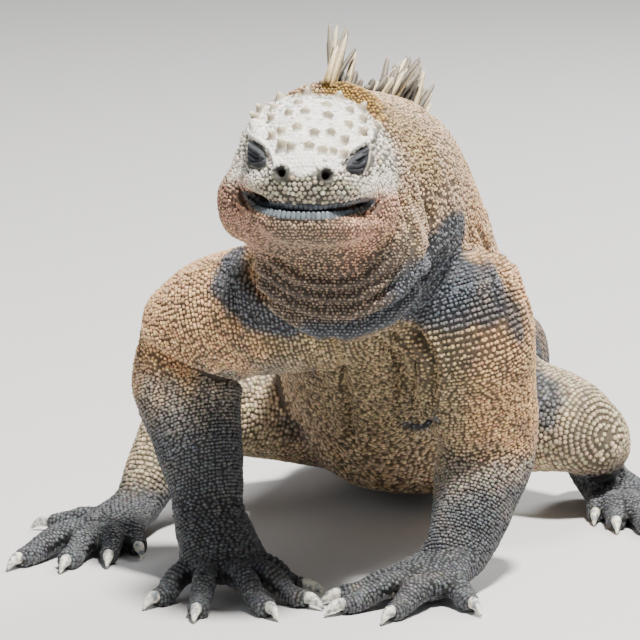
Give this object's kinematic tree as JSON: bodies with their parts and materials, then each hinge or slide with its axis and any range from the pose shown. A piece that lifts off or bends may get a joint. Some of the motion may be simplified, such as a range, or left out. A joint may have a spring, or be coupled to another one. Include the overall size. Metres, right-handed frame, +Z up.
{
  "type": "marine iguana model",
  "caption": "Life-size model of a marine iguana, propped on its forelegs with the head raised, a spiny crest and a long curved tail on the ground.",
  "frame": {"origin": "on the floor, on the flat under the pelvis", "axes": "+Z up, -Y the way the head looks, +X the animal's left side"},
  "size_m": [0.3066, 0.7572, 0.2386],
  "materials": {
    "body_skin": "granular scales, golden brown with slate blotches",
    "head_scales": "salt-crusted pale scales with low cones",
    "dark_skin": "charcoal granular scales",
    "claw": "pale blue-grey horn",
    "eye": "wet dark eye, nearly closed"
  },
  "bodies": {
    "root": {"head": "head_scales", "eye_right": "eye", "eye_left": "eye", "neck": "body_skin", "torso": "body_skin", "tail_1": "body_skin", "tail_2": "body_skin", "tail_3": "body_skin", "tail_4": "body_skin", "tail_5": "body_skin", "tail_6": "body_skin", "tail_7": "body_skin", "upper_arm_left": "body_skin", "forearm_left": "dark_skin", "thigh_left": "body_skin", "shank_left": "dark_skin", "upper_arm_right": "body_skin", "forearm_right": "dark_skin", "thigh_right": "body_skin", "shank_right": "dark_skin", "hand_left": "dark_skin", "hand_right": "dark_skin", "foot_left": "dark_skin", "foot_right": "dark_skin", "claw_hand_left_1": "claw", "claw_hand_left_2": "claw", "claw_hand_left_3": "claw", "claw_hand_left_4": "claw", "claw_hand_left_5": "claw", "claw_hand_right_1": "claw", "claw_hand_right_2": "claw", "claw_hand_right_3": "claw", "claw_hand_right_4": "claw", "claw_hand_right_5": "claw", "claw_foot_left_1": "claw", "claw_foot_left_2": "claw", "claw_foot_left_3": "claw", "claw_foot_left_4": "claw", "claw_foot_left_5": "claw", "claw_foot_right_1": "claw", "claw_foot_right_2": "claw", "claw_foot_right_3": "claw", "claw_foot_right_4": "claw", "claw_foot_right_5": "claw"}
  },
  "joints": []
}
